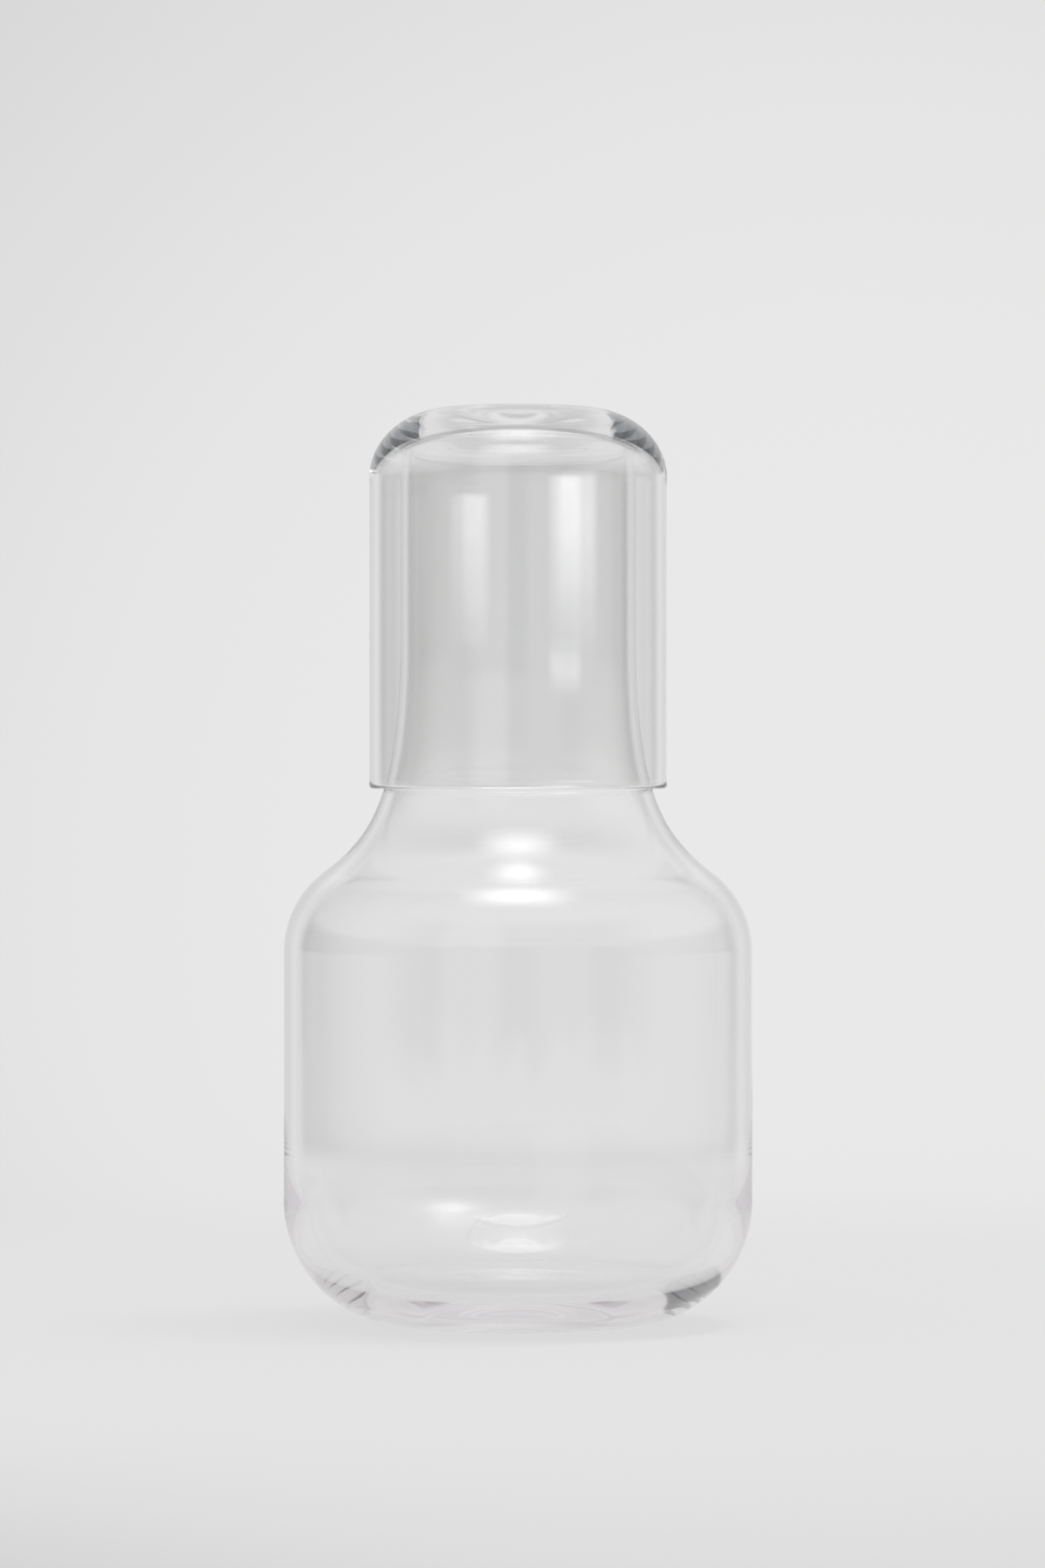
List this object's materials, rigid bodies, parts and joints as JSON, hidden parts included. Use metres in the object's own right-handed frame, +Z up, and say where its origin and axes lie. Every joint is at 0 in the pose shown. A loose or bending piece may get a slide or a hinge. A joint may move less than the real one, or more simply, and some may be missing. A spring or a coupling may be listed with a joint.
{
  "type": "carafe",
  "caption": "Round clear glass carafe with a curved shoulder and straight neck, and a tumbler turned over the neck as a cap that lifts off to drink from.",
  "frame": {"origin": "centre of the foot, on the surface that the carafe stands on", "axes": "+Z up along the axis of the carafe and the tumbler; the glass is round, so +X and +Y are free"},
  "size_m": [0.1, 0.1, 0.1957],
  "materials": {
    "carafe_glass": "clear blown glass, polished smooth",
    "tumbler_glass": "clear blown glass, polished smooth"
  },
  "bodies": {
    "carafe_body": {"carafe": "carafe_glass"},
    "tumbler_body": {"tumbler": "tumbler_glass"}
  },
  "joints": [
    {"name": "tumbler_lift", "type": "slide", "parent": "carafe_body", "child": "tumbler_body", "axis": [0, 0, 1], "range_m": [0, 0.085]}
  ]
}
